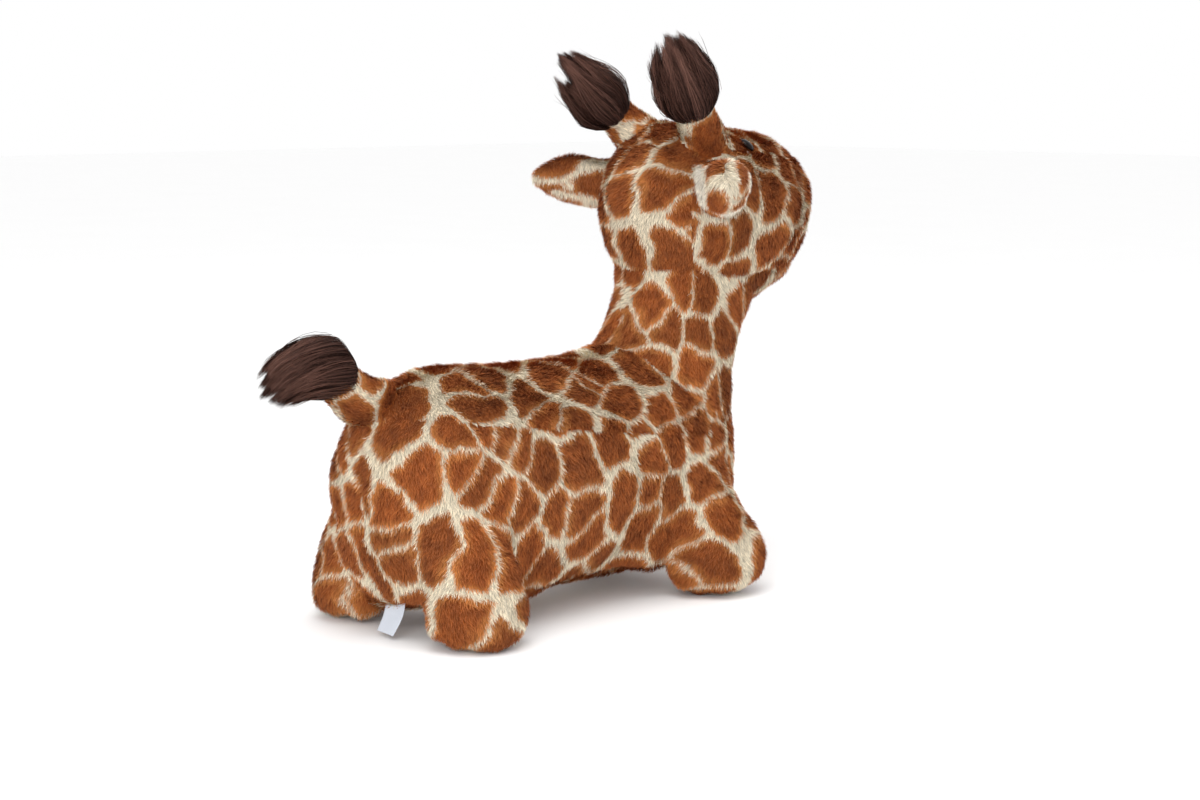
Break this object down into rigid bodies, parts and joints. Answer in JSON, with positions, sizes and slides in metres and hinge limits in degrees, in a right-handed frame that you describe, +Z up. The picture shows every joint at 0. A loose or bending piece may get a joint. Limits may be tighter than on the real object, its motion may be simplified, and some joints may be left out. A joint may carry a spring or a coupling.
{
  "type": "plush bouncy hopper",
  "caption": "Ride-on stuffed giraffe with a printed plush cover over an air-filled bladder, with bending ears, horns and tail, a belly zip and an inflation valve.",
  "frame": {"origin": "on the floor under the middle of the bounding box", "axes": "+X towards the animal's muzzle, +Y to its left, +Z up"},
  "size_m": [0.7776, 0.3008, 0.5919],
  "materials": {
    "plush": "short pile, giraffe print",
    "long_pile": "long dark-brown pile",
    "filling": "loose polyester fibre",
    "vinyl": "satin vinyl",
    "white_plastic": "satin",
    "eye": "polished",
    "zip_cloth": "woven tape",
    "zip_metal": "tumbled",
    "label": "smooth satin ribbon"
  },
  "bodies": {
    "body": {"cover_torso": "plush", "cover_neck": "plush", "cover_head": "plush", "cover_leg_rear_left": "plush", "cover_leg_rear_right": "plush", "cover_leg_front_left": "plush", "cover_leg_front_right": "plush", "head_filling": "filling", "bladder": "vinyl", "valve_seat": "vinyl", "zip_half_left": "zip_cloth", "zip_half_right": "zip_cloth", "zip_stop_rear": "zip_metal", "zip_stop_front": "zip_metal", "eye_left": "eye", "eye_right": "eye", "eye_washer_left": "white_plastic", "eye_washer_right": "white_plastic"},
    "ear_left": {"ear_left": "plush"},
    "ear_right": {"ear_right": "plush"},
    "horn_left": {"horn_left": "plush", "horn_tuft_left": "long_pile"},
    "horn_right": {"horn_right": "plush", "horn_tuft_right": "long_pile"},
    "tail": {"tail_stub": "plush"},
    "tail_tuft": {"tail_tuft": "long_pile"},
    "valve_plug": {"valve_plug": "white_plastic"},
    "zip_slider": {"zip_slider": "zip_metal"},
    "zip_pull": {"zip_pull": "zip_metal"},
    "care_label": {"care_label": "label"}
  },
  "joints": [
    {"name": "ear_left_bend", "type": "hinge", "parent": "body", "child": "ear_left", "pos_m": [0.17307, 0.08266, 0.44923], "axis": [0.7071, 0.7071, 0], "range_deg": [-25, 25], "stiffness_Nm_per_rad": 2},
    {"name": "ear_right_bend", "type": "hinge", "parent": "body", "child": "ear_right", "pos_m": [0.17307, -0.08266, 0.44923], "axis": [0.7071, -0.7071, 0], "range_deg": [-25, 25], "stiffness_Nm_per_rad": 2},
    {"name": "horn_left_bend", "type": "hinge", "parent": "body", "child": "horn_left", "pos_m": [0.18232, 0.04744, 0.49948], "axis": [0.1759, 0.9674, -0.1822], "range_deg": [-20, 20], "stiffness_Nm_per_rad": 3},
    {"name": "horn_right_bend", "type": "hinge", "parent": "body", "child": "horn_right", "pos_m": [0.18232, -0.04744, 0.49948], "axis": [-0.1759, 0.9674, 0.1822], "range_deg": [-20, 20], "stiffness_Nm_per_rad": 3},
    {"name": "tail_bend", "type": "hinge", "parent": "body", "child": "tail", "pos_m": [-0.26146, 0, 0.25052], "axis": [0, 1, 0], "range_deg": [-20, 25], "stiffness_Nm_per_rad": 5},
    {"name": "tail_tuft_swing", "type": "hinge", "parent": "tail", "child": "tail_tuft", "pos_m": [-0.29382, 0, 0.27403], "axis": [0.5878, 0, 0.809], "range_deg": [-25, 25], "stiffness_Nm_per_rad": 0.6},
    {"name": "valve_plug_pull", "type": "slide", "parent": "body", "child": "valve_plug", "axis": [0, 0, -1], "range_m": [0, 0.016]},
    {"name": "zip_slider_run", "type": "slide", "parent": "body", "child": "zip_slider", "axis": [1, 0, 0], "range_m": [0, 0.155]},
    {"name": "zip_pull_swing", "type": "hinge", "parent": "zip_slider", "child": "zip_pull", "pos_m": [-0.08894, 0, 0.015], "axis": [0, 1, 0], "range_deg": [-80, 80]},
    {"name": "care_label_flap", "type": "hinge", "parent": "body", "child": "care_label", "pos_m": [-0.23203, 0, 0.04222], "axis": [0, 1, 0], "range_deg": [-35, 60]}
  ]
}
